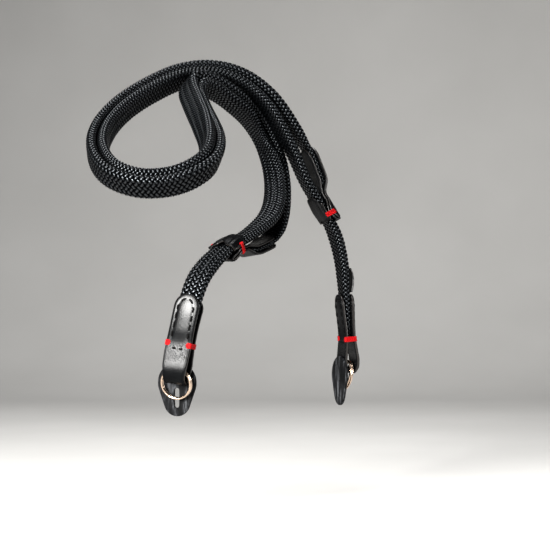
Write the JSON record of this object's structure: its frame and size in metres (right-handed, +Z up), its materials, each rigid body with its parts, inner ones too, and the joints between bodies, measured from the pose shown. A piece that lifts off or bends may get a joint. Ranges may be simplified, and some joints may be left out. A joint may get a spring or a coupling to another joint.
{
  "type": "camera strap",
  "caption": "Camera strap of paired flat braided cords that slide on each other through leather sliders, with folded leather tabs on split rings and leather ring protectors.",
  "frame": {"origin": "midway between the camera lugs that hold the strap's rings", "axes": "+X from the left lug to the right lug, -Y towards the side the strap is seen from, +Z up"},
  "size_m": [0.1894, 0.0927, 0.2005],
  "materials": {
    "braid": "tight flat braid with a satin sheen",
    "tab_leather": "fine grained, semi-gloss, with raw brownish cut edges",
    "protector_leather": "matte, lightly scuffed",
    "ring_metal": "polished, with a warm tint",
    "red_thread": "waxed thread in close turns"
  },
  "bodies": {
    "root": {"braid_left": "braid", "end_tab_left": "tab_leather", "slider_strip_left": "tab_leather", "slider_band_left": "tab_leather", "tab_whipping_left_near": "red_thread", "slider_whipping_left_near": "red_thread", "tab_whipping_left_far": "red_thread", "slider_whipping_left_far": "red_thread", "ring_protector_left": "protector_leather", "split_ring_left": "ring_metal", "braid_right": "braid", "end_tab_right": "tab_leather", "slider_strip_right": "tab_leather", "slider_band_right": "tab_leather", "tab_whipping_right_near": "red_thread", "slider_whipping_right_near": "red_thread", "tab_whipping_right_far": "red_thread", "slider_whipping_right_far": "red_thread", "ring_protector_right": "protector_leather", "split_ring_right": "ring_metal", "label_patch": "tab_leather"}
  },
  "joints": []
}
